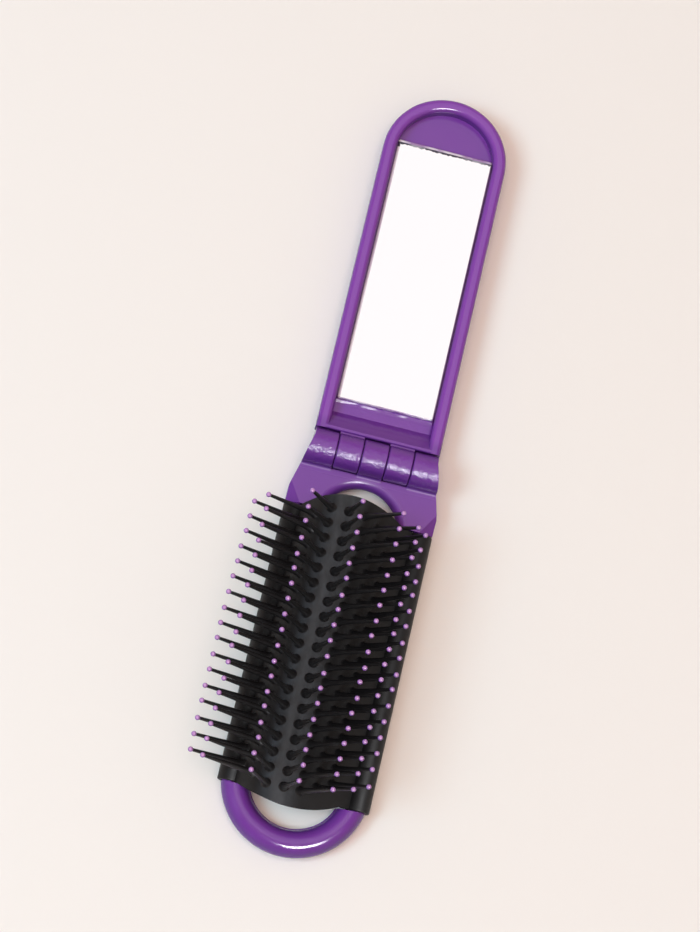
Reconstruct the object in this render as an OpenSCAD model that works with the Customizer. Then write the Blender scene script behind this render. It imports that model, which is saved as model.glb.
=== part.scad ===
// Folding hairbrush with a mirror.
// The brush lies open and flat. X runs across it, Y runs along it from the hanging loop
// to the round end of the mirror, and Z points up, the way the pins and the mirror face.
// The origin is on the underside, straight below the middle of the hinge axis.

/* [Hinge] */
// Gap beside each knuckle
knuckle_gap = 0.2; // [0.2:0.05:0.6]
// Radius of the knuckles
knuckle_r = 4.75; // [4:0.05:4.9]
// Height of the hinge axis above the table
hinge_z = 8.5; // [8.3:0.1:9.5]
// Radius of the steel hinge pin
pin_r = 1.0; // [0.8:0.05:1.5]
// Radial clearance of the pin in the turning knuckles
pin_clearance = 0.05; // [0.02:0.01:0.1]

/* [Base frame] */
// Thickness of the bridge plate beside the hinge
plate_h = 7.0; // [5.5:0.1:7.4]
// Width by which the bridge plate stands out beyond the rails
plate_margin = 3.1; // [2.4:0.1:4]
// Distance from the hinge axis to the end of the plate's two arms
arm_reach = 15.8; // [14.5:0.1:18]
// Distance from the hinge axis to the middle of the arch
arch_reach = 18.5; // [17.5:0.1:20]
// Radius of the arch cut in the bridge plate, where it is narrowest
arch_r = 10.7; // [9.5:0.1:11.5]
// Radius of the arch's rounded upper edge
arch_round = 2.4; // [1:0.1:3]
// Distance from the middle to each side rail
rail_x = 17.0; // [16:0.1:20]
// Height of the side rails above the table
rail_z = 4.0; // [3.6:0.1:4.4]
// Radius of the side rails
rail_r = 2.05; // [1.8:0.05:2.3]
// Radius of the hanging loop's thick round bar
loop_r = 3.65; // [3:0.05:4.2]
// Distance by which the loop's bar runs inside the rails
loop_inset = 1.0; // [0:0.1:1.4]

/* [Bristle pad] */
// Length of the edge clips along the rails
clip_len = 75.2; // [60:0.2:100]
// Wall of the edge clips
clip_wall = 1.15; // [0.9:0.05:1.4]
// Thickness of the rubber sheet
sheet_t = 1.3; // [1:0.1:1.6]
// Angle through which the sheet turns from one rail to the other
sheet_turn = 87.9; // [60:1:100]
// Place of the crown along the sheet, from the left rail
crown_at = 0.358; // [0.3:0.01:0.7]
// Softness of the crown, as a share of the sheet's width
crown_soft = 0.138; // [0.08:0.01:0.3]
// Length by which the sheet's ends stand out beyond the clips
sheet_bulge = 3.8; // [2:0.1:6]

/* [Pins] */
// Distance between neighbouring pins in a row
pin_pitch = 4.1; // [3.8:0.05:4.3]
// Distance between neighbouring rows, along the sheet
row_pitch = 4.38; // [3.6:0.02:4.6]
// Place of the middle row along the sheet, from the left rail
rows_at = 0.439; // [0.42:0.005:0.5]
// Number of pins in each of the three middle rows
middle_pins = 19; // [13:2:19]
// Length of a pin from the middle of the sheet to the centre of its ball
pin_len = 18.0; // [12:0.1:18]
// Radius of a pin's flared root
root_r = 1.15; // [0.9:0.05:1.2]
// Radius of a pin's shaft where the flare ends
shaft_r = 0.72; // [0.5:0.02:0.9]
// Radius of a pin's shaft at the ball
neck_r = 0.42; // [0.3:0.02:0.5]
// Radius of the ball on the pin's end
ball_r = 0.7; // [0.55:0.05:0.8]

/* [Mirror half] */
// Half of the mirror frame's width
frame_half_w = 17.0; // [15:0.1:18]
// Distance from the hinge axis to the mirror frame's round end
tip_reach = 103.5; // [98:0.5:130]
// Height of the rim above the table
rim_z = 9.3; // [9:0.1:9.8]
// Width of the flat-topped rim
rim_w = 3.5; // [2.8:0.1:4]
// Radius along both upper edges of the rim
rim_edge_r = 1.3; // [0.3:0.05:1.35]
// Width of the lip that ends the tray at the hinge
lip_w = 0.9; // [0.6:0.1:1.5]
// Length of the ramp between the lip and the tray's floor
ramp_run = 4.9; // [3:0.1:7]
// Height of the tray's floor above the table
floor_z = 5.3; // [3.5:0.1:5.5]
// Radius of the rounded lower edges
back_r = 5.0; // [2:0.1:6]
// Gap along both sides of the mirror plate
glass_gap = 0.75; // [0.3:0.05:2]
// Length of the mirror plate
glass_len = 74.4; // [50:0.2:76]
// Thickness of the mirror plate
glass_t = 1.4; // [1:0.1:2.2]
// Thickness of the adhesive tape under the mirror plate
tape_t = 0.3; // [0.2:0.05:0.6]

/* [Hidden] */
$fn = 48;
eps = 0.01;
big = 400;

purple = [0.44, 0.20, 0.58];
black = [0.10, 0.10, 0.11];
lilac = [0.72, 0.50, 0.80];

// hinge
hinge_half_w = frame_half_w + 0.05;
knuckle_pitch = hinge_half_w / 2.5;      // five knuckles, each with its gap
knuckle_w = knuckle_pitch - knuckle_gap;
knuckle_edge = 0.25;                     // bevel round a knuckle's ends
notch_gap = 0.35;                        // between a turning knuckle and the plate
wall_gap = 0.5;                          // between a fixed knuckle and the mirror frame
wall_reach = knuckle_r + wall_gap;       // from the hinge axis to the mirror frame's end wall
knuckle_fillet = 0.9;                    // radius where a fixed knuckle runs into the plate
stop_gap = 0.6;                          // between the base frame's skirt and the end wall
skirt_z = 5.0;                           // height of the skirt under the fixed knuckles
web_foot_z = 1.0;                        // underside of the turning knuckles' webs
pin_cap = 1.0;                           // plastic that closes the bore's right end
pin_inset = 1.2;                         // from the left end of the bore to the pin

// bridge plate
plate_half_w = rail_x + plate_margin;
flare_top_w = hinge_half_w - 0.35;       // half width at the mirror frame
flare_start = 2.0;                       // from the hinge axis towards the mirror
flare_end = arm_reach - 4.3;             // where the flare reaches its full width
arch_draft = 1.8;                        // by which the arch widens again towards the underside
skirt_reach = wall_reach - stop_gap;
block_lap = 0.3;                         // by which the knuckles' blocks run into the plate
block_reach = knuckle_r + notch_gap + block_lap;
cradle_gap = 0.6;                        // between a turning knuckle's web and its cradle
facet_run = 6.0;                         // length of the sloping facets on the plate's outer corners
facet_turn = 32;                         // angle between a facet's upper edge and the plate's side
facet_slope = 34;                        // angle by which a facet falls
plate_skin = 1.8;                        // plastic above the pocket in the plate's underside
plate_wall = 1.7;                        // walls round the pocket
rib_t = 1.3;                             // ribs across the pocket

// rails and loop
shoulder_gap = 0.3;                      // between the clips and their shoulders
pad_y = -arm_reach - shoulder_gap - clip_len / 2;
shoulder_y = pad_y - clip_len / 2 - shoulder_gap;
loop_bend_r = rail_x - loop_inset;
loop_centre = 4.25;                      // from the shoulders to the loop's centre
loop_y = shoulder_y + loop_centre;
ridge_r = 0.25;                          // moulding's parting ridge inside the loop

// pad
clip_gap = 0.05;
clip_in_r = rail_r + clip_gap;
clip_out_r = clip_in_r + clip_wall;
clip_mouth = 90;                         // opening angle of a clip
clip_lip = 30;                           // angle from where the sheet leaves a clip to its mouth
sheet_steps = 48;
bulge_inset = 1.8;                       // from the left rail to where the sheet's end starts to bulge
bulge_left = bulge_inset - rail_x;
bulge_right = rail_x - 5.2;
bulge_half_w = (bulge_right - bulge_left) / 2;
bulge_r = (pow(bulge_half_w, 2) + pow(sheet_bulge, 2)) / (2 * sheet_bulge);
pin_seat = 0.12;                         // between a pin's root and the sheet
flare_len = 2.0;                         // length of a pin's flared root
flare_dip = 0.08;                        // by which the flare is hollowed
ball_seat = 0.5;                         // from the ball's centre to its flat seat
row_trim = [2, 1, 0, 0, 0, 1, 2];        // pins that each row lacks, against a middle row

// mirror half
tip_y = tip_reach - frame_half_w;
rim_in = frame_half_w - rim_w;           // half width of the tray
ramp_top = wall_reach + lip_w;
ramp_foot = ramp_top + ramp_run;
glass_w = 2 * (rim_in - glass_gap);
glass_y = ramp_foot + 3.6;               // the mirror plate's end nearest the hinge
lip_edge = 0.25;                         // bevel along the lip's front edge
web_drop = 0.5;                          // from the rim down to the top of the knuckles' webs
tape_margin = 3.0;

// ---- the section of the pad: a sheet that turns through sheet_turn in one soft crown ----

function tanh(u) = 1 - 2 / (exp(2 * u) + 1);

// slope of the unplaced sheet at share t of its width
function turned(t) = -sheet_turn / 2 * tanh((t - crown_at) / crown_soft);

// running sum of short chords gives the unplaced sheet, one unit wide
raw_path = [for (i = 0, p = [0, 0]; i <= sheet_steps;
    p = p + [cos(turned((i + 0.5) / sheet_steps)), sin(turned((i + 0.5) / sheet_steps))] / sheet_steps,
    i = i + 1) p];
raw_end = raw_path[sheet_steps];
sheet_w = 2 * rail_x / norm(raw_end);    // developed width from rail to rail
sheet_tilt = -atan2(raw_end.y, raw_end.x);

function spin(p, a) = [p.x * cos(a) - p.y * sin(a), p.x * sin(a) + p.y * cos(a)];
function raw_at(t) =
    let (k = min(floor(t * sheet_steps), sheet_steps - 1), f = t * sheet_steps - k)
    raw_path[k] * (1 - f) + raw_path[k + 1] * f;

// place and slope on the sheet, in the XZ plane
function sheet_at(t) = [-rail_x, rail_z] + sheet_w * spin(raw_at(t), sheet_tilt);
function slope_at(t) = turned(t) + sheet_tilt;
function off_sheet(t, d) = sheet_at(t) + d * [-sin(slope_at(t)), cos(slope_at(t))];

function row_share(row) = rows_at + (row - 4) * row_pitch / sheet_w;

// ---- helpers ----

// a bar along X
module x_bar(r, x0, x1) {
    translate([min(x0, x1), 0, 0]) rotate([0, 90, 0]) cylinder(r = r, h = abs(x1 - x0));
}

// a bar along Y
module y_bar(r, y0, y1) {
    translate([0, y1, 0]) rotate([90, 0, 0]) cylinder(r = r, h = y1 - y0);
}

// stands a section drawn in X and Z along Y, from y0 to y1
module along_y(y0, y1) {
    translate([0, y1, 0]) rotate([90, 0, 0]) linear_extrude(height = y1 - y0) children();
}

// ---- hinge ----

// fixed knuckles are 0, 2 and 4, turning knuckles are 1 and 3
function knuckle_x0(k) = -hinge_half_w + k * knuckle_pitch + knuckle_gap / 2;

// a round barrel with a bevel at both ends
module knuckle(k) {
    translate([knuckle_x0(k), 0, hinge_z]) rotate([0, 90, 0]) rotate_extrude()
        polygon([[0, 0], [knuckle_r - knuckle_edge, 0], [knuckle_r, knuckle_edge],
            [knuckle_r, knuckle_w - knuckle_edge], [knuckle_r - knuckle_edge, knuckle_w], [0, knuckle_w]]);
}

module hinge_pin() {
    color("silver") translate([0, 0, hinge_z])
        x_bar(pin_r, -hinge_half_w + pin_inset, hinge_half_w - pin_cap - knuckle_gap / 2);
}

// ---- base frame ----

function plate_edge(y) =
    let (u = max(0, min(1, (flare_start - y) / (flare_start + flare_end))))
    flare_top_w + (plate_half_w - flare_top_w) * u;

// outline of the bridge plate seen from above, from y0 to y1, drawn in by inset at its sides
module plate_outline(y0, y1, inset) {
    right = [[plate_edge(y1) - inset, y1], if (y1 > flare_start) [flare_top_w - inset, flare_start],
        [plate_half_w - inset, -flare_end], [plate_half_w - inset, y0]];
    left = [for (i = [len(right) - 1:-1:0]) [-right[i].x, right[i].y]];
    polygon(concat(right, left));
}

// the arch is rounded over along its top, and under that its wall falls back
module arch_cut() {
    round_z = plate_h - arch_round;
    translate([0, -arch_reach, 0]) {
        translate([0, 0, -1]) cylinder(r1 = arch_r + arch_draft, r2 = arch_r, h = round_z + 1 + eps, $fn = 96);
        rotate_extrude($fn = 96) difference() {
            translate([0, round_z]) square([arch_r + arch_round, arch_round + 2]);
            translate([arch_r + arch_round, round_z]) circle(r = arch_round);
        }
    }
}

// cuts a sloping facet off the plate's outer corner
module corner_facet() {
    translate([plate_half_w, -arm_reach + facet_run, plate_h])
        rotate([0, 0, -facet_turn]) rotate([0, facet_slope, 0])
            translate([0, -2 * facet_run, 0]) cube(4 * facet_run);
}

// the hollow in the plate's underside, with two ribs that run to the middle knuckle's block
module plate_pocket() {
    y1 = -block_reach - plate_wall;
    translate([0, 0, -1]) linear_extrude(height = plate_h - plate_skin + 1) difference() {
        plate_outline(plate_wall - arm_reach, y1, plate_wall);
        translate([0, -arch_reach]) circle(r = arch_r + arch_draft + plate_wall, $fn = 96);
        for (side = [-1, 1]) translate([side * knuckle_pitch - rib_t / 2, -arm_reach]) square([rib_t, arm_reach]);
    }
}

module bridge_plate() {
    difference() {
        linear_extrude(height = plate_h) plate_outline(-arm_reach, skirt_reach, 0);
        arch_cut();
        plate_pocket();
        corner_facet();
        mirror([1, 0, 0]) corner_facet();
        // room for the knuckles, whose own walls follow
        translate([-big / 2, -knuckle_r - notch_gap, -1]) cube([big, big, plate_h + 2]);
    }
}

// the hollow corner between a fixed knuckle and the plate, as a section in Y and Z
module fillet_section() {
    rise = hinge_z - plate_h;
    reach = knuckle_r + knuckle_fillet;
    y0 = -sqrt(pow(reach, 2) - pow(rise - knuckle_fillet, 2));
    top = knuckle_fillet + knuckle_fillet * (rise - knuckle_fillet) / reach;
    difference() {
        translate([y0, plate_h - 1]) square([1.5 * knuckle_fillet, 1 + top]);
        translate([y0, plate_h + knuckle_fillet]) circle(r = knuckle_fillet);
    }
}

// a fixed knuckle on its block. The outer two run out to the plate's flared edge.
module fixed_knuckle(k) {
    side = k == 0 ? -1 : k == 4 ? 1 : 0;
    out = 4;
    x0 = knuckle_x0(k) - (side < 0 ? out : 0);
    w = knuckle_w + (side == 0 ? 0 : out);
    intersection() {
        union() {
            knuckle(k);
            if (side != 0) translate([0, 0, hinge_z]) x_bar(knuckle_r,
                side * (hinge_half_w - knuckle_gap / 2 - knuckle_edge), side * (hinge_half_w + out));
            translate([x0, 0, 0]) rotate([90, 0, 90]) linear_extrude(height = w) fillet_section();
            translate([x0, -block_reach, 0]) cube([w, block_reach, plate_h]);
            translate([x0, -1, 0]) cube([w, skirt_reach + 1, skirt_z]);
        }
        linear_extrude(height = 20) plate_outline(-arm_reach, skirt_reach, 0);
    }
}

// the plate's hollow that a turning knuckle lies in
module cradle(k) {
    x0 = knuckle_x0(k) - knuckle_gap - eps;
    w = knuckle_w + 2 * (knuckle_gap + eps);
    difference() {
        translate([x0, -block_reach, 0]) cube([w, block_reach - cradle_gap, plate_h - 0.5]);
        translate([0, 0, hinge_z]) x_bar(knuckle_r + notch_gap, x0 - 1, x0 + w + 1);
    }
}

module loop() {
    intersection() {
        translate([0, loop_y, loop_r]) union() {
            rotate_extrude($fn = 96) translate([loop_bend_r, 0]) circle(r = loop_r);
            rotate_extrude($fn = 96) translate([loop_bend_r - loop_r, 0]) circle(r = ridge_r, $fn = 16);
        }
        translate([-big / 2, -big, -1]) cube([big, big + shoulder_y, 20]);
    }
}

module base_frame() {
    color(purple) difference() {
        union() {
            bridge_plate();
            for (k = [0, 2, 4]) fixed_knuckle(k);
            for (k = [1, 3]) cradle(k);
            loop();
            for (side = [-1, 1]) translate([side * rail_x, 0, rail_z])
                y_bar(rail_r, shoulder_y - 0.5, -arm_reach + 3);
        }
        translate([0, 0, hinge_z]) x_bar(pin_r, -hinge_half_w - 6, hinge_half_w - pin_cap);
    }
}

// ---- bristle pad ----

// the sheet's section between the two clips
module sheet_section() {
    upper = [for (i = [0:sheet_steps]) off_sheet(i / sheet_steps, sheet_t / 2)];
    lower = [for (i = [sheet_steps:-1:0]) off_sheet(i / sheet_steps, -sheet_t / 2)];
    difference() {
        polygon(concat(upper, lower));
        for (side = [-1, 1]) translate([side * rail_x, rail_z]) circle(r = clip_out_r);
    }
}

// plan of the sheet: as long as the clips, with a wide arc that bulges out at each end
module sheet_plan() {
    middle = (bulge_left + bulge_right) / 2;
    reach = clip_len / 2 + sheet_bulge - bulge_r;
    translate([-2 * rail_x, pad_y - clip_len / 2]) square([4 * rail_x, clip_len]);
    for (end = [-1, 1]) translate([middle, pad_y + end * reach]) circle(r = bulge_r, $fn = 128);
}

module pad_sheet() {
    color(black) intersection() {
        along_y(pad_y - clip_len, pad_y + clip_len) sheet_section();
        translate([0, 0, -5]) linear_extrude(height = 50) sheet_plan();
    }
}

// a clip hugs its rail. Its mouth opens from the angle given, down and away from the sheet.
module clip(from) {
    along_y(pad_y - clip_len / 2, pad_y + clip_len / 2) difference() {
        circle(r = clip_out_r);
        circle(r = clip_in_r);
        polygon([[0, 0], for (a = [0, clip_mouth / 2, clip_mouth]) 3 * clip_out_r * [cos(from + a), sin(from + a)]]);
    }
}

module pad_clip_left() {
    color(black) translate([-rail_x, 0, rail_z]) clip(slope_at(0) - clip_lip - clip_mouth);
}

module pad_clip_right() {
    color(black) translate([rail_x, 0, rail_z]) clip(180 + slope_at(1) + clip_lip);
}

// ---- pins ----

// stands children on the sheet at every pin of a row, with Z along the pin
module on_row(row) {
    t = row_share(row);
    root = sheet_at(t);
    n = middle_pins - row_trim[row - 1];
    for (k = [0:n - 1])
        translate([root.x, pad_y + (k - (n - 1) / 2) * pin_pitch, root.y])
            rotate([0, -slope_at(t), 0]) children();
}

module pin() {
    foot = sheet_t / 2 + pin_seat;
    neck = pin_len - ball_seat;
    rotate_extrude($fn = 24)
        polygon([[0, foot], [root_r, foot], [(root_r + shaft_r) / 2 - flare_dip, foot + flare_len / 3],
            [shaft_r, foot + flare_len], [neck_r, neck], [0, neck]]);
}

module pin_row(row) {
    color(black) on_row(row) pin();
}

module tip_row(row) {
    color(lilac) on_row(row) translate([0, 0, pin_len]) rotate_extrude($fn = 24) intersection() {
        circle(r = ball_r, $fn = 32);
        translate([0, -ball_seat]) square([2, 4]);
    }
}

// ---- mirror half ----

// half of the mirror frame's section: the floor, the rounded lower edge, and the wall that ends
// in a flat-topped rim
module frame_half() {
    square([frame_half_w - back_r, floor_z]);
    intersection() {
        translate([frame_half_w - back_r, back_r]) circle(r = back_r);
        square([frame_half_w, floor_z]);
    }
    translate([rim_in, back_r]) square([rim_w, rim_z - rim_edge_r - back_r]);
    intersection() {
        translate([frame_half_w - back_r, back_r]) circle(r = back_r);
        translate([rim_in, 0]) square([rim_w, back_r + eps]);
    }
    translate([rim_in + rim_edge_r, back_r]) square([rim_w - 2 * rim_edge_r, rim_z - back_r]);
    for (x = [rim_in + rim_edge_r, frame_half_w - rim_edge_r])
        translate([x, rim_z - rim_edge_r]) circle(r = rim_edge_r);
}

// the end wall's lip, and the ramp that falls from it to the tray's floor
module lip_and_ramp() {
    translate([-rim_in - rim_edge_r, 0, 0]) rotate([90, 0, 90]) linear_extrude(height = 2 * (rim_in + rim_edge_r))
        polygon([[wall_reach, floor_z - 1], [wall_reach, rim_z - lip_edge], [wall_reach + lip_edge, rim_z],
            [ramp_top, rim_z], [ramp_foot, floor_z], [ramp_foot, floor_z - 1]]);
}

module turning_knuckle(k) {
    knuckle(k);
    translate([knuckle_x0(k), 0, web_foot_z])
        cube([knuckle_w, wall_reach + lip_edge, rim_z - web_drop - web_foot_z]);
}

module mirror_frame() {
    color(purple) difference() {
        union() {
            along_y(wall_reach, tip_y) union() {
                frame_half();
                mirror([1, 0]) frame_half();
            }
            translate([0, tip_y, 0]) rotate_extrude(angle = 180, $fn = 96) frame_half();
            lip_and_ramp();
            for (k = [1, 3]) turning_knuckle(k);
        }
        translate([0, 0, hinge_z]) x_bar(pin_r + pin_clearance, -hinge_half_w - 1, hinge_half_w + 1);
    }
}

module mirror_glass() {
    color("gainsboro") translate([-glass_w / 2, glass_y, floor_z + tape_t])
        cube([glass_w, glass_len, glass_t]);
}

module mirror_tape() {
    color("white") translate([-glass_w / 2 + tape_margin, glass_y + tape_margin, floor_z])
        cube([glass_w - 2 * tape_margin, glass_len - 2 * tape_margin, tape_t]);
}

base_frame();
hinge_pin();
pad_sheet();
pad_clip_left();
pad_clip_right();
pin_row(1);  // pin_row_1
pin_row(2);  // pin_row_2
pin_row(3);  // pin_row_3
pin_row(4);  // pin_row_4
pin_row(5);  // pin_row_5
pin_row(6);  // pin_row_6
pin_row(7);  // pin_row_7
tip_row(1);  // pin_tips_1
tip_row(2);  // pin_tips_2
tip_row(3);  // pin_tips_3
tip_row(4);  // pin_tips_4
tip_row(5);  // pin_tips_5
tip_row(6);  // pin_tips_6
tip_row(7);  // pin_tips_7
mirror_frame();
mirror_glass();
mirror_tape();
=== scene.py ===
"""Folding hairbrush with a mirror, lying open on its back on a pale table."""

import math

import bmesh
import bpy
import numpy as np
from mathutils import Matrix, Vector


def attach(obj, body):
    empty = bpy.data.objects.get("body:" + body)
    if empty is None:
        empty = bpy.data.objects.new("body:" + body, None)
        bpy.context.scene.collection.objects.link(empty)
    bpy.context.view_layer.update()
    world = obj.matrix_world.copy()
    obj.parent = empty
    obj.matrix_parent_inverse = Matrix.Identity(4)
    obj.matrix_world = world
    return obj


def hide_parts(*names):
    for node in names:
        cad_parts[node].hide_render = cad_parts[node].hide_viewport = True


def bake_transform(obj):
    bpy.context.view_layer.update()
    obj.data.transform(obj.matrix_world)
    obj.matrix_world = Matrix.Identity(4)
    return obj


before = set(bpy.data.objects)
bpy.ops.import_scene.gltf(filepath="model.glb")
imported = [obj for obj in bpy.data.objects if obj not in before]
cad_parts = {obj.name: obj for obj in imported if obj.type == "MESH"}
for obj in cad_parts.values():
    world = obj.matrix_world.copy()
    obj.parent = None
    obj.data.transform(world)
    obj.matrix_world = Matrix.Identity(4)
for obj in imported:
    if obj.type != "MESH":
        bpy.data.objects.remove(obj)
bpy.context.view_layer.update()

scene = bpy.context.scene
scene.view_settings.view_transform = "Standard"
MM = 0.001


# ---- Base frame ----
# One glossy purple moulding: the hanging loop, two rails for the pad, the bridge plate with its arch
# and three of the five hinge knuckles. The mould was polished by hand: flat parts are smooth, the
# knuckles are a little wavy, and the arch's edge and the knuckles' foot are dull.
class Wire:
    """A node's output socket. Arithmetic on it, with numbers or other wires, adds Math nodes."""

    def __init__(self, nodes, socket):
        self.nodes = nodes
        self.socket = socket

    def math(self, operation, first, second=0.0):
        return self.nodes.node("Math", {"operation": operation}, {0: first, 1: second})

    def __add__(self, other):
        return self.math("ADD", self, other)

    def __sub__(self, other):
        return self.math("SUBTRACT", self, other)

    def __rsub__(self, other):
        return self.math("SUBTRACT", other, self)

    def __mul__(self, other):
        return self.math("MULTIPLY", self, other)

    def __abs__(self):
        return self.math("ABSOLUTE", self)

    def least(self, other):
        return self.math("MINIMUM", self, other)

    __radd__ = __add__
    __rmul__ = __mul__


class Nodes:
    """The nodes of a material or of the room."""

    def __init__(self, tree):
        self.tree = tree

    def node(self, kind, settings, sockets, output=0):
        """Adds a node, sets it, links or fills its sockets, and gives the wanted output."""
        made = self.tree.nodes.new("ShaderNode" + kind)
        for name, value in settings.items():
            setattr(made, name, value)
        for name, value in sockets.items():
            self.put(made.inputs[name], value)
        return Wire(self, made.outputs[output])

    def put(self, socket, value):
        """Links a wire to a socket, or sets the socket to a number, a vector or a colour."""
        if isinstance(value, Wire):
            self.tree.links.new(value.socket, socket)
        elif hasattr(value, "__len__") and len(value) == 3 and socket.type == "RGBA":
            socket.default_value = (*value, 1)
        else:
            socket.default_value = value

    def axis(self, vector, name):
        """One of the three numbers of a vector."""
        return self.node("SeparateXYZ", {}, {"Vector": vector}, name)

    def range(self, wire, low, high, new_low=0.0, new_high=1.0, smooth=False):
        """Maps low to high onto new_low to new_high, held at both ends."""
        return self.node("MapRange", {"interpolation_type": "SMOOTHSTEP" if smooth else "LINEAR"},
                         {"Value": wire, "From Min": low, "From Max": high,
                          "To Min": new_low, "To Max": new_high})

    def near(self, wire, middle, none, full, smooth=False):
        """0 where the wire is none or more from the middle, rising to 1 where it is full from it."""
        return self.range(abs(wire - middle), none, full, smooth=smooth)

    def mix(self, factor, first, second):
        """The first colour where factor is 0, the second where it is 1."""
        return self.node("Mix", {"data_type": "RGBA"}, {0: factor, 6: first, 7: second}, 2)


class Finish(Nodes):
    """A material that starts as one Principled shader with the given constant sockets. Its x, y and
    z are the place in millimetres. Its steep is 0 on level surfaces and 1 on upright ones."""

    def __init__(self, name, **constants):
        self.material = bpy.data.materials.new(name)
        self.material.use_nodes = True
        super().__init__(self.material.node_tree)
        self.shader = self.tree.nodes["Principled BSDF"]
        self.paint(**constants)
        self.place = self.node("TexCoord", {}, {}, "Object")
        self.x, self.y, self.z = (self.axis(self.place, name) * (1 / MM) for name in "XYZ")
        self.steep = 1 - abs(self.axis(self.node("TexCoord", {}, {}, "Normal"), "Z"))

    def noise(self, size, detail=2.0, stretch=(1, 1, 1)):
        """Noise from 0 to 1 in blotches of about size millimetres, longer where stretch is small."""
        place = self.node("Mapping", {}, {"Vector": self.place, "Scale": stretch})
        return self.node("TexNoise", {},
                         {"Vector": place, "Scale": 1 / (size * MM), "Detail": detail})

    def paint(self, **looks):
        """Feeds or sets sockets of the shader, such as Base_Color and Roughness."""
        for socket, value in looks.items():
            self.put(self.shader.inputs[socket.replace("_", " ")], value)

    def bump(self, height):
        """Feeds the shader's normal with a height in millimetres."""
        sockets = {"Height": height, "Distance": MM, "Strength": 1.0}
        self.paint(Normal=self.node("Bump", {}, sockets))

    def onto(self, *pieces):
        """Makes this the only material of the pieces."""
        for piece in pieces:
            piece.data.materials.clear()
            piece.data.materials.append(self.material)
            faces = piece.data.polygons
            faces.foreach_set("material_index", np.zeros(len(faces), np.int32))


PURPLE_FLAT, PURPLE_FLAT_TOO = (0.176, 0.040, 0.315), (0.200, 0.047, 0.335)
# the rim colour is a painted sheen and the flank colour a painted shade
PURPLE_RIM_SHEEN, PURPLE_FLANK_SHADE = (0.235, 0.054, 0.385), (0.115, 0.026, 0.245)
GRAIN_H, WAVE_H, FINE_WAVE_H, RIPPLE_H = 0.012, 0.16, 0.09, 0.22
# where the marks lie: a pair runs from where a mark ends to where it is full
KNUCKLE_REACH, KNUCKLE_Z = (5.0, 4.0), (8.2, 9.2)
RIM_Y, RIM_Z = (7, 9), (7.4, 8.4)
ARCH_Y, ARCH_REACH, ARCH_HALF_W, ARCH_EDGE_Z = -14, (9, 5), (14, 10), (6.97, 6.90)
FOOT_Y, FOOT_REACH, FOOT_Z = -5.2, (1.4, 0.9), (8.4, 8.0)
TRAY_HALF_W = (13.6, 13.2)
WELT_Y, WELT_REACH, FLOOR_Z, FLOOR_REACH = 14.7, (1.4, 0.0), 5.3, (0.5, 0.3)
RAMP_Y, RAMP_REACH, RAMP_Z, RAMP_HALF_H = 11.4, (3.0, 1.5), 7, (2.3, 2.0)

purple = Finish("purple_plastic", IOR=1.49)
on_knuckles = purple.near(purple.y, 0, *KNUCKLE_REACH) * purple.range(purple.z, *KNUCKLE_Z)
# painted sheen: the rim's level top is painted a paler purple, as if it reflected the light above
painted_rim_sheen = purple.range(purple.z, *RIM_Z) * purple.range(purple.y, *RIM_Y)
by_arch = (purple.near(purple.y, ARCH_Y, *ARCH_REACH, smooth=True)
           * purple.near(purple.x, 0, *ARCH_HALF_W, smooth=True)
           * purple.range(purple.z, *ARCH_EDGE_Z))
by_foot = purple.near(purple.y, FOOT_Y, *FOOT_REACH) * purple.range(purple.z, *FOOT_Z)
across_tray = purple.near(purple.x, 0, *TRAY_HALF_W)

flat_color = purple.mix(purple.noise(14, 3), PURPLE_FLAT, PURPLE_FLAT_TOO)
# painted shade: steep flanks are painted a darker purple, as if turned from the light, less so on
# the rim
painted_flank_shade = purple.range(purple.steep, 0.04, 0.42) * (1 - 0.6 * painted_rim_sheen)
purple_color = purple.mix(painted_flank_shade, purple.mix(painted_rim_sheen, flat_color, PURPLE_RIM_SHEEN), PURPLE_FLANK_SHADE)

# the mould left an uneven line, the welt, by the glass's lower edge, and ripples on the ramp
welt = (purple.near(purple.y, WELT_Y, *WELT_REACH, smooth=True)
        * purple.range(purple.noise(6, 2), 0.38, 0.62, 0.20, 0.50)
        * across_tray * purple.near(purple.z, FLOOR_Z, *FLOOR_REACH))
scuffs = purple.range(purple.noise(0.5, 3, (1, 0.4, 1)), 0.62, 0.72) * on_knuckles
polish = purple.range(purple.noise(3, 4), 0.3, 0.7, 0.11, 0.22)
purple.paint(Base_Color=purple_color,
             Roughness=polish + scuffs * 0.10 + (by_arch + by_foot) * 0.30 + welt * 0.45)

waves = (purple.noise(1.4, 2) * WAVE_H + purple.noise(0.4, 2) * FINE_WAVE_H) * on_knuckles
ripples = (purple.noise(2.6, 2) * RIPPLE_H * purple.near(purple.y, RAMP_Y, *RAMP_REACH, smooth=True)
           * across_tray * purple.near(purple.z, RAMP_Z, *RAMP_HALF_H))
purple.bump(purple.noise(1.6, 3) * GRAIN_H + waves + welt + ripples)
purple.onto(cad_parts["base_frame"])

# ---- Hinge pin ----
# A length of plain steel wire, pressed through the five knuckles from the open end. Drawing the
# wire left fine streaks along it.
steel = Finish("steel", Metallic=1.0)
steel.paint(Base_Color=steel.mix(steel.noise(2), (0.20, 0.20, 0.21), (0.30, 0.30, 0.31)),
            Roughness=steel.range(steel.noise(0.5, 2, (0.2, 1, 1)), 0.3, 0.7, 0.30, 0.5))
steel.onto(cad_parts["hinge_pin"])

# ---- Mirror frame ----
# The second moulding of the same purple plastic: a long tray with a rounded rim, a ramp at the
# hinge end and two knuckles. It covers the pins when the brush is folded.
purple.onto(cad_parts["mirror_frame"])

# ---- Mirror plate ----
# A strip of silvered glass, cut and seamed along its edges. The silver stops short of the cut, so a
# narrow clear margin shows round it, and at the round end the silver's edge is chipped, with painted
# shade and painted highlight behind it.
PLATE_HALF_W = 13.1
PLATE_Y = (14.65, 89.45)
PLATE_Z = (5.6, 7.0)
SEAM = 0.22
CORNER_R = 0.5
CORNER_STEPS = 5
SEAM_ANGLE = 25
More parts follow.
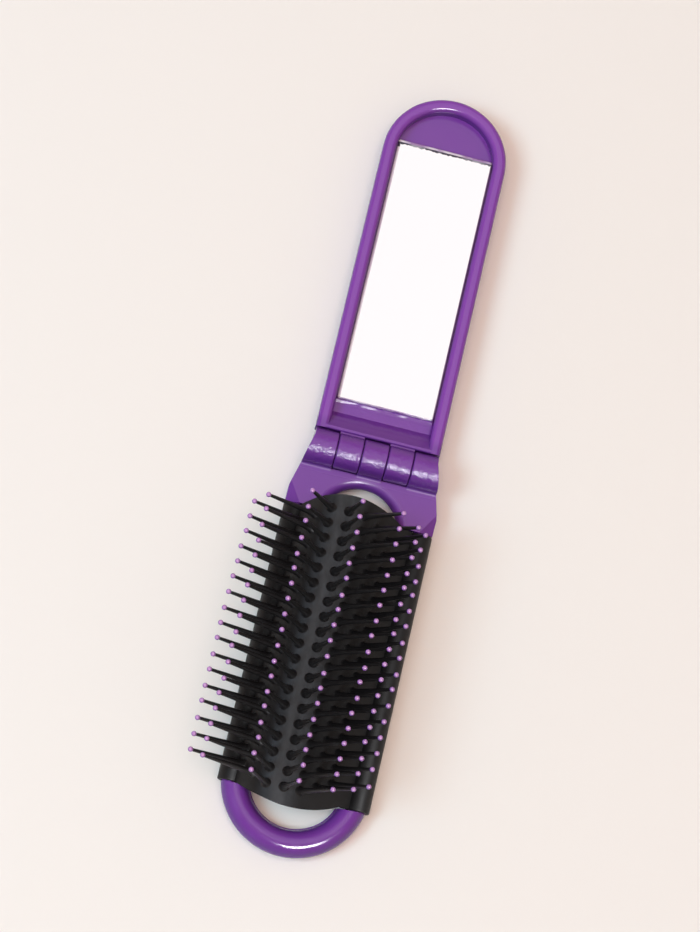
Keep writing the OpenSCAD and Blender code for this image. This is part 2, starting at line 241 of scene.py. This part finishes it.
# the silver lies a little to one side of the glass, only on its upper face
SILVER_X = 0.2
SILVER_Z = (PLATE_Z[1] - 0.1, PLATE_Z[1] - 0.05)
SILVER_TINTS = (0.815, 0.762, 0.782), (0.83, 0.775, 0.795)
# the margin's pale colour is a painted highlight of the lit glass edge; the gap's colours are a
# painted highlight and a painted shade
MARGIN_DARK, MARGIN_PAINTED_HIGHLIGHT = (0.36, 0.20, 0.42), (0.80, 0.72, 0.80)
GAP_PAINTED_HIGHLIGHT, GAP_PAINTED_SHADE = (0.30, 0.28, 0.33), (0.030, 0.020, 0.045)


def tube_faces(rows, columns):
    """Quads between neighbouring points of a grid whose last column meets its first."""
    row, column = np.arange(rows - 1)[:, None], np.arange(columns)[None, :]
    beside = (column + 1) % columns
    corners = [row * columns + column, row * columns + beside,
               (row + 1) * columns + beside, (row + 1) * columns + column]
    return np.stack(np.broadcast_arrays(*corners), -1).reshape(-1, 4)


def grid_points(x, y, z):
    """Points of a grid from its three coordinates, each spread over the whole grid."""
    return np.stack(np.broadcast_arrays(x, y, z), -1)


def piece_from(name, points, faces, sharp_angle=50):
    """A smooth mesh object from millimetre points and lists of faces, its faces turned outwards."""
    mesh = bpy.data.meshes.new(name)
    corners = [list(face) for part in faces for face in part]
    mesh.from_pydata((np.reshape(points, (-1, 3)) * MM).tolist(), [], corners)
    work = bmesh.new()
    work.from_mesh(mesh)
    bmesh.ops.recalc_face_normals(work, faces=work.faces)
    work.to_mesh(mesh)
    work.free()
    mesh.polygons.foreach_set("use_smooth", np.ones(len(mesh.polygons), bool))
    mesh.set_sharp_from_angle(angle=math.radians(sharp_angle))
    made = bpy.data.objects.new(name, mesh)
    scene.collection.objects.link(made)
    return made


def rounded_plate(name, half_w, y_range, z_range, seam, corner_r):
    """A flat plate. Its outline is four quarter circles about the corners of a smaller rectangle.
    It is carried up the side, and at both faces its circles are smaller by the seam."""
    quarter = np.exp(1j * np.linspace(0, np.pi / 2, CORNER_STEPS))
    outward = np.concatenate([quarter * 1j**k for k in range(4)])
    centre = np.repeat([1 + 1j, -1 + 1j, -1 - 1j, 1 - 1j], CORNER_STEPS)
    middle_y, half_y = np.mean(y_range), np.ptp(y_range) / 2
    low, high = z_range
    levels = [(seam, low), (0, low + seam), (0, high - seam), (seam, high)]
    inset, z = np.array(levels).T[:, :, None]
    x = centre.real * (half_w - corner_r) + outward.real * (corner_r - inset)
    y = middle_y + centre.imag * (half_y - corner_r) + outward.imag * (corner_r - inset)
    columns = len(outward)
    ring = np.arange(columns)[None]
    faces = [tube_faces(len(levels), columns), ring[:, ::-1], ring + (len(levels) - 1) * columns]
    return piece_from(name, grid_points(x, y, z), faces, SEAM_ANGLE)


plate = rounded_plate("mirror_plate", PLATE_HALF_W, PLATE_Y, PLATE_Z, SEAM, CORNER_R)
silver = Finish("silvered_glass", IOR=1.52)
chips = silver.noise(0.9, 4)
from_side = PLATE_HALF_W - abs(silver.x - SILVER_X)
from_end = PLATE_Y[1] - silver.y
from_start = silver.y - PLATE_Y[0]
nearest = from_side.least(from_start + 0.20) + 0.05
silvered = (silver.range(nearest + chips * 0.15, 0.48, 0.60)
            * silver.range(from_end + chips * 0.9, 1.60, 1.70)
            * silver.range(silver.z, *SILVER_Z))
mirror_color = silver.mix(silver.noise(30), *SILVER_TINTS)

# the clear margin shows the purple tray, with a painted highlight of its lit edge in places; behind
# the chipped end is painted shade, pale in places with a painted highlight
haze = silver.noise(7, 2, (1, 0.1, 0.1))
margin_with_highlight = silver.mix(silver.range(haze, 0.42, 0.60), MARGIN_DARK, MARGIN_PAINTED_HIGHLIGHT)
gap_shade_and_highlight = silver.mix(silver.range(haze, 0.38, 0.50), GAP_PAINTED_HIGHLIGHT, GAP_PAINTED_SHADE)
at_chips = silver.range(from_end, 0.60, 0.72) * silver.range(from_end, 2.2, 2.0)
silver.paint(Base_Color=silver.mix(silvered, silver.mix(at_chips, margin_with_highlight, gap_shade_and_highlight), mirror_color),
             Metallic=silvered,
             Roughness=silver.range(silver.noise(8), 0.3, 0.7, 0.02, 0.04))
silver.onto(plate)
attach(plate, "mirror_half")
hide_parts("mirror_glass")

# ---- Mirror tape ----
# Thin white foam tape, sticky on both sides. It holds the plate to the tray's floor and is hidden
# under it.
foam = Finish("tape", Roughness=0.8)
foam.paint(Base_Color=foam.mix(foam.noise(1), (0.75, 0.74, 0.71), (0.82, 0.81, 0.78)))
foam.onto(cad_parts["mirror_tape"])

# ---- Bristle pad: the sheet ----
# One rubber moulding stretched between the two rails. Its section turns down softly from a crown
# left of the middle. Seven strips, one for each row of pins, and two edge strips make it up.
RAIL_X, RAIL_Z = 17.0, 4.0
SHEET_TURN = 87.9
CROWN_AT, CROWN_SOFT = 0.358, 0.138
SHEET_T = 1.3
CLIP_OUT_R = 3.25
PAD_Y = -53.7
CLIP_HALF = 37.6
ROWS_AT, ROW_PITCH = 0.439, 4.38
BULGE = 3.8
BULGE_FROM, BULGE_TO = -15.2, 11.8
ROWS = range(1, 8)
MIDDLE_ROW = 4
CHORDS = 480
# how far the strips reach past the first and the last row, and into a clip as a share of the width
PAST_FIRST, PAST_LAST = 1.3, 2.2
INTO_CLIP = 0.004
RUBBER_DARK, RUBBER_PALE = (0.0048, 0.0043, 0.0048), (0.0070, 0.0065, 0.0075)
# the worn colour is partly wear and partly a painted sheen
RUBBER_WORN_SHEEN = (0.038, 0.040, 0.047)


def bend(share):
    """Slope in radians at a share of the sheet's width, before it is tilted between the rails: half
    of its whole turn, times the hyperbolic tangent of the distance past the crown over the crown's
    softness."""
    return np.radians(-SHEET_TURN / 2 * np.tanh((share - CROWN_AT) / CROWN_SOFT))


chord_slope = bend((np.arange(CHORDS) + 0.5) / CHORDS)
free_line = np.concatenate([[0], np.cumsum(np.exp(1j * chord_slope)) / CHORDS])
sheet_width = 2 * RAIL_X / abs(free_line[-1])
sheet_tilt = -np.angle(free_line[-1])
sheet_line = complex(-RAIL_X, RAIL_Z) + sheet_width * free_line * np.exp(1j * sheet_tilt)


def slope(share):
    """Slope of the tilted sheet in radians, at a share of its width."""
    return bend(share) + sheet_tilt


def on_sheet(share, lift=0.0):
    """Place across the sheet as x + iz: the slope summed up to a share of the width, and then
    lifted along the sheet's normal."""
    known = np.linspace(0, 1, CHORDS + 1)
    line = np.interp(share, known, sheet_line.real) + 1j * np.interp(share, known, sheet_line.imag)
    return line + lift * 1j * np.exp(1j * slope(share))


def row_share(row):
    """Share of the sheet's width at which a row of pins stands."""
    return ROWS_AT + (row - MIDDLE_ROW) * ROW_PITCH / sheet_width


def half_length(x):
    """Half of the sheet's length at x: half of the clips' length, plus the height of a circle's
    arc over the bulge."""
    half = (BULGE_TO - BULGE_FROM) / 2
    radius = (half**2 + BULGE**2) / (2 * BULGE)
    off = np.clip(np.abs(x - (BULGE_FROM + BULGE_TO) / 2), 0, half)
    return CLIP_HALF + np.sqrt(radius**2 - off**2) - (radius - BULGE)


def end_faces(rows, half):
    """Quads over both ends of a swept section of 2 * half points: point i is joined to the point
    opposite it, 2 * half - 1 - i."""
    column = np.arange(half - 1)
    opposite = 2 * half - 1 - column
    end = np.stack([column, column + 1, opposite - 1, opposite], -1)
    return [end, end + (rows - 1) * 2 * half]


def strip(name, share_from, share_to, across=14, along=72):
    """A strip of the sheet. Its closed section runs over the top and back underneath, half a
    thickness from the middle, and goes along Y by a share of the half length at each point."""
    share = np.linspace(share_from, share_to, across)
    top, bottom = on_sheet(share, SHEET_T / 2), on_sheet(share, -SHEET_T / 2)
    loop = np.concatenate([top, bottom[::-1]])
    middle_x = on_sheet(share).real
    reach = half_length(np.concatenate([middle_x, middle_x[::-1]]))
    station = np.linspace(-1, 1, along)[:, None]
    points = grid_points(loop.real, PAD_Y + station * reach, loop.imag)
    return piece_from(name, points, [tube_faces(along, len(loop)), *end_faces(along, across)])


# the crown is painted paler in blotches: partly wear where hair and hands touch it most, partly a
# painted sheen where it faces the light above
crown_z = sheet_line.imag.max() + SHEET_T / 2
rubber = Finish("pad_rubber", IOR=1.5, Specular_IOR_Level=0.32)
on_crown = rubber.range(rubber.z, crown_z - 2.2, crown_z - 0.1, smooth=True)
worn_and_painted_sheen = on_crown * rubber.range(rubber.noise(2.4, 4, (1, 0.5, 1)), 0.30, 0.70, 0.35, 1.0)
fresh_color = rubber.mix(rubber.noise(6, 3), RUBBER_DARK, RUBBER_PALE)
rubber.paint(Base_Color=rubber.mix(worn_and_painted_sheen, fresh_color, RUBBER_WORN_SHEEN),
             Roughness=rubber.range(rubber.noise(1.5, 3), 0.3, 0.7, 0.42, 0.58) - on_crown * 0.08)
rubber.bump(rubber.noise(0.35, 2) * 0.02)

boundary = [row_share(1) - PAST_FIRST / sheet_width]
boundary += [row_share(row + 0.5) for row in range(1, 7)]
boundary += [row_share(7) + PAST_LAST / sheet_width]
for row in ROWS:
    made = strip(f"sheet_strip_{row}", boundary[row - 1], boundary[row])
    rubber.onto(made)
    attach(made, f"row_{row}")
    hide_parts("pad_sheet")

clip_edge = CLIP_OUT_R / sheet_width
for side, at_clip, at_row, row in (("left", clip_edge - INTO_CLIP, boundary[0], 1),
                                   ("right", 1 - clip_edge + INTO_CLIP, boundary[-1], 7)):
    made = strip(f"sheet_edge_{side}", min(at_clip, at_row), max(at_clip, at_row))
    rubber.onto(made)
    start, end = ((point.real * MM, PAD_Y * MM, point.imag * MM)
                  for point in (on_sheet(at_clip), on_sheet(at_row)))
    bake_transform(made)
    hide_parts("pad_sheet")

# ---- Bristle pad: the clips ----
# The thick edges of the same moulding, each a C-shaped channel that snaps over a rail. Their mouths
# face each other, below the sheet.
CLIP_IN_R = 2.1
CLIP_MOUTH = 90
CLIP_ARC_STEPS = 49
CLIP_EDGE_R, CLIP_EDGE_STEPS = 0.35, 4
# where each clip's mouth starts, in degrees from the sheet's slope there
LEFT_MOUTH, RIGHT_MOUTH = -120, 210


def clip(name, x, mouth_from):
    """A ring sector swept along Y: an outer arc and back along an inner arc, open over the mouth.
    At both ends the arcs draw in along a quarter circle."""
    angle = np.radians(mouth_from + CLIP_MOUTH + np.linspace(0, 360 - CLIP_MOUTH, CLIP_ARC_STEPS))
    arcs = np.concatenate([CLIP_OUT_R * np.exp(1j * angle), CLIP_IN_R * np.exp(1j * angle[::-1])])
    turn = np.linspace(0, np.pi / 2, CLIP_EDGE_STEPS)
    drawn_in = CLIP_EDGE_R * (1 - np.sin(turn))
    end_y = CLIP_HALF - CLIP_EDGE_R * (1 - np.cos(turn))
    inset = np.concatenate([drawn_in, drawn_in[::-1]])[:, None]
    y = PAD_Y + np.concatenate([-end_y, end_y[::-1]])[:, None]
    middle_r = (CLIP_OUT_R + CLIP_IN_R) / 2
    off = abs(arcs) - middle_r
    section = np.exp(1j * np.angle(arcs)) * (middle_r + np.sign(off) * (abs(off) - inset))
    points = grid_points(x + section.real, y, RAIL_Z + section.imag)
    rows, columns = points.shape[:2]
    return piece_from(name, points, [tube_faces(rows, columns), *end_faces(rows, len(angle))])


for side, x, mouth_from in (("left", -RAIL_X, math.degrees(slope(0)) + LEFT_MOUTH),
                            ("right", RAIL_X, math.degrees(slope(1)) + RIGHT_MOUTH)):
    made = clip(f"clip_{side}", x, mouth_from)
    rubber.onto(made)
    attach(made, "base")
    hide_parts(f"pad_clip_{side}")

# ---- Pins and their balls ----
# Black nylon pins in seven rows, each with a flared root in the rubber. A small lilac ball is
# moulded over the end of each pin.
PIN_PITCH = 4.1
PIN_LEN = 18.0
PIN_SIDES = 12
BALL_R = 0.7
BALL_FROM, BALL_TO, BALL_RINGS = -0.87, 1, 7
BALL_POLE_R = 0.02
UNEVEN = 0.008
PINS_IN_ROW = {1: 17, 2: 18, 3: 19, 4: 19, 5: 19, 6: 18, 7: 17}
# how far the balls lean across and along a row, at its loop end, middle and hinge end, from use
ROW_LEAN = {1: ((0.0, -0.2, 1.5), (-0.9, -0.1, -0.1)), 2: ((-2.0, -0.7, -0.7), (0.1, -0.3, -0.4)),
            3: ((1.3, 0.5, -0.1), (0.6, -0.5, -0.5)), 4: ((-0.3, -0.5, -0.7), (0.3, -0.5, -0.1)),
            5: ((-0.3, 0.8, 1.7), (0.5, -0.3, 0.0)), 6: ((0.0, 0.9, 1.6), (0.0, -0.1, 0.1)),
            7: ((-0.3, -0.1, -0.8), (-0.1, 0.8, 0.7))}
# distance from the sheet's middle surface along the pin, and the radius there
PIN_OUTLINE = [(0.45, 1.55), (0.8, 1.2), (1.5, 0.98), (3.0, 0.80), (9.0, 0.62), (17.5, 0.42)]
NYLON_DARK, NYLON_PALE = (0.0045, 0.0038, 0.0045), (0.0070, 0.0060, 0.0070)
# the flank colour is a painted shade
LILAC, LILAC_PINK, LILAC_FLANK_SHADE = (0.56, 0.27, 0.62), (0.66, 0.34, 0.64), (0.17, 0.055, 0.36)

nylon = Finish("pin_nylon", IOR=1.5)
nylon.paint(Base_Color=nylon.mix(nylon.noise(4), NYLON_DARK, NYLON_PALE),
            Roughness=nylon.range(nylon.noise(2), 0.3, 0.7, 0.38, 0.52))

lilac = Finish("ball_plastic", IOR=1.5)
ball_top = lilac.mix(lilac.noise(5), LILAC, LILAC_PINK)
# painted shade: each ball's steep sides are painted a deep purple, as if lit only from above
lilac.paint(Base_Color=lilac.mix(lilac.range(lilac.steep, 0.05, 0.75), ball_top, LILAC_FLANK_SHADE),
            Roughness=lilac.range(lilac.noise(1), 0.3, 0.7, 0.22, 0.36))

wobble = np.random.default_rng(7)
ALONG = np.array([0, 1, 0])


def lean_along(row):
    """How far each ball of a row leans, across and along: two parabolas through the row's three
    known leans."""
    along_row = np.linspace(-1, 1, PINS_IN_ROW[row])
    parabolas = [np.polyfit((-1, 0, 1), known, 2) for known in ROW_LEAN[row]]
    return np.stack([np.polyval(parabola, along_row) for parabola in parabolas], -1)


def pin_frames(row):
    """Roots and unit axes of a row's pins, and two unit vectors across each. An axis is the sheet's
    normal plus the ball's lean over the pin's length, plus a little chance."""
    share = row_share(row)
    root, turn = on_sheet(share), slope(share)
    count = PINS_IN_ROW[row]
    y = PAD_Y + (np.arange(count) - (count - 1) / 2) * PIN_PITCH
    roots = grid_points(root.real, y, root.imag)
    lean = wobble.normal(0, UNEVEN, (count, 2)) + lean_along(row) / PIN_LEN
    tangent = np.array([math.cos(turn), 0, math.sin(turn)])
    normal = np.array([-math.sin(turn), 0, math.cos(turn)])
    axis = normal + lean[:, :1] * tangent + lean[:, 1:] * ALONG
    axis /= np.linalg.norm(axis, axis=1, keepdims=True)
    across = np.cross(ALONG, axis)
    across /= np.linalg.norm(across, axis=1, keepdims=True)
    return roots, axis, across, np.cross(axis, across)


def revolved(name, centres, axis, across, beside, outline):
    """One outline turned about each of many axes: the centre, plus its distance along the axis,
    plus its radius times the cosine across and the sine beside."""
    distance, radius = np.array(outline).T[:, None, :, None, None]
    angle = (np.arange(PIN_SIDES) * 2 * np.pi / PIN_SIDES)[None, :, None]
    around = across[:, None, :] * np.cos(angle) + beside[:, None, :] * np.sin(angle)
    rings = (centres[:, None, None, :] + distance * axis[:, None, None, :]
             + radius * around[:, None, :, :])
    count, rows = rings.shape[:2]
    first = (np.arange(count) * rows * PIN_SIDES)[:, None]
    ring = np.arange(PIN_SIDES)[None]
    quads = (tube_faces(rows, PIN_SIDES)[None] + first[:, :, None]).reshape(-1, 4)
    caps = [ring + first, ring[:, ::-1] + first + (rows - 1) * PIN_SIDES]
    return piece_from(name, rings, [quads, *caps])


ball_angle = np.linspace(BALL_FROM, BALL_TO, BALL_RINGS) * np.pi / 2
ball_outline = [(BALL_R * math.sin(a), max(BALL_R * math.cos(a), BALL_POLE_R)) for a in ball_angle]
for row in ROWS:
    roots, axis, across, beside = pin_frames(row)
    pins = revolved(f"pins_{row}", roots, axis, across, beside, PIN_OUTLINE)
    nylon.onto(pins)
    balls = revolved(f"balls_{row}", roots + PIN_LEN * axis, axis, across, beside, ball_outline)
    lilac.onto(balls)
    for made, node, name in ((pins, f"pin_row_{row}", "pin_nylon"),
                             (balls, f"pin_tips_{row}", "ball_plastic")):
        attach(made, f"row_{row}")
        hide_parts(node)

# ---- Camera ----
# The camera looks down on the brush from above the bristle pad, turned a little so that the mirror
# leans to the right.
LENS_PIXELS = 2800
FRAME_HEIGHT = 932
SENSOR = 24
CAMERA_TILT = math.radians(-13.5)
CAMERA_ROLL = math.radians(2.83)
CAMERA_TURN = math.radians(-13.36)
CAMERA_SHIFT = Vector((-6.74, -51.04, -737.2)) * MM
PAD_TO_HINGE = 53.8 * MM
NEAREST_SEEN = 0.05

turned = (Matrix.Rotation(CAMERA_TURN, 3, "Z") @ Matrix.Rotation(CAMERA_TILT, 3, "X")
          @ Matrix.Rotation(CAMERA_ROLL, 3, "Y")).transposed()
place = -(turned @ CAMERA_SHIFT) - Vector((0, PAD_TO_HINGE, 0))
camera = bpy.data.objects.new("camera", bpy.data.cameras.new("camera"))
camera.data.sensor_fit = "VERTICAL"
camera.data.sensor_height = SENSOR
camera.data.lens = LENS_PIXELS * SENSOR / FRAME_HEIGHT
camera.data.clip_start = NEAREST_SEEN
camera.matrix_world = Matrix.Translation(place) @ turned.to_4x4()
scene.collection.objects.link(camera)
scene.camera = camera

# ---- Table, lamps and surrounds ----
# A pale table top, lit by a cool window on the left, a warm lamp overhead and a warm room. A small
# bright lamp and a soft one straight above show in glossy parts only.
TABLE_HALF = 1.5
TABLE_Z = -0.0002
TABLE_FADE = (0.45, 1.20)
corners = [(x * TABLE_HALF, y * TABLE_HALF, TABLE_Z)
           for x, y in ((-1, -1), (1, -1), (1, 1), (-1, 1))]
table = bpy.data.objects.new("table", bpy.data.meshes.new("table"))
table.data.from_pydata(corners, [], [(0, 1, 2, 3)])
scene.collection.objects.link(table)
card = Finish("table_top", Roughness=0.7, Specular_IOR_Level=0.2)
from_middle = card.node("VectorMath", {"operation": "LENGTH"}, {0: card.place}, "Value")
card.paint(Base_Color=card.mix(card.noise(400), (0.91, 0.85, 0.815), (0.925, 0.865, 0.835)),
           Alpha=card.range(from_middle, *TABLE_FADE, 1.0, 0.0, smooth=True))
card.onto(table)


def lamp(name, at, aim, size, radiance, color, diffuse=True, glossy=True):
    """A rectangular lamp at a point, facing another. Its power is pi times its area times its
    radiance, in watts per square metre and steradian."""
    data = bpy.data.lights.new(name, "AREA")
    data.shape = "RECTANGLE"
    data.size, data.size_y = size
    data.energy = radiance * math.pi * data.size * data.size_y
    data.color = color
    made = bpy.data.objects.new(name, data)
    made.location = at
    made.rotation_euler = (Vector(aim) - Vector(at)).to_track_quat("-Z", "Y").to_euler()
    made.visible_camera, made.visible_diffuse, made.visible_glossy = False, diffuse, glossy
    scene.collection.objects.link(made)


lamp("window", at=(-1.05, -0.45, 1.50), aim=(0, 0, 0), size=(0.75, 0.75), radiance=10.2,
     color=(0.50, 0.84, 1.0), glossy=False)
lamp("overhead", at=(-0.05, -0.20, 1.60), aim=(0, 0, 0), size=(0.80, 0.80), radiance=5.3,
     color=(1.0, 0.81, 0.70), glossy=False)
lamp("ceiling", at=(0.03, 0.22, 0.80), aim=(0.03, 0.22, 0), size=(0.60, 0.70), radiance=1.15,
     color=(0.99, 1.0, 0.995), diffuse=False)
lamp("flash", at=(0.48, -1.00, 1.65), aim=(0, 0, 0), size=(0.75, 0.50), radiance=46.0,
     color=(0.96, 0.97, 1.0), diffuse=False)

# how bright the room is as a light, to the camera, and in reflections low down and overhead
ROOM_SOFT, ROOM_SEEN = 0.425, 1.0
ROOM_LOW, ROOM_HIGH = 0.70, 0.14
LOW_TO_HIGH = (0.25, 0.75)
ROOM_LIGHT_COLOR, ROOM_SEEN_COLOR = (1.0, 0.82, 0.73), (0.90, 0.85, 0.82)
world = bpy.data.worlds.new("room")
scene.world = world
world.use_nodes = True
room = Nodes(world.node_tree)
upward = room.axis(room.node("TexCoord", {}, {}, "Generated"), "Z")
is_camera = room.node("LightPath", {}, {}, "Is Camera Ray")
is_glossy = room.node("LightPath", {}, {}, "Is Glossy Ray")
reflected = room.range(upward, *LOW_TO_HIGH, ROOM_LOW, ROOM_HIGH)
as_light = room.range(is_glossy, 0, 1, ROOM_SOFT, reflected)
background = room.tree.nodes["Background"]
room.put(background.inputs["Color"], room.mix(is_camera, ROOM_LIGHT_COLOR, ROOM_SEEN_COLOR))
room.put(background.inputs["Strength"], room.range(is_camera, 0, 1, as_light, ROOM_SEEN))
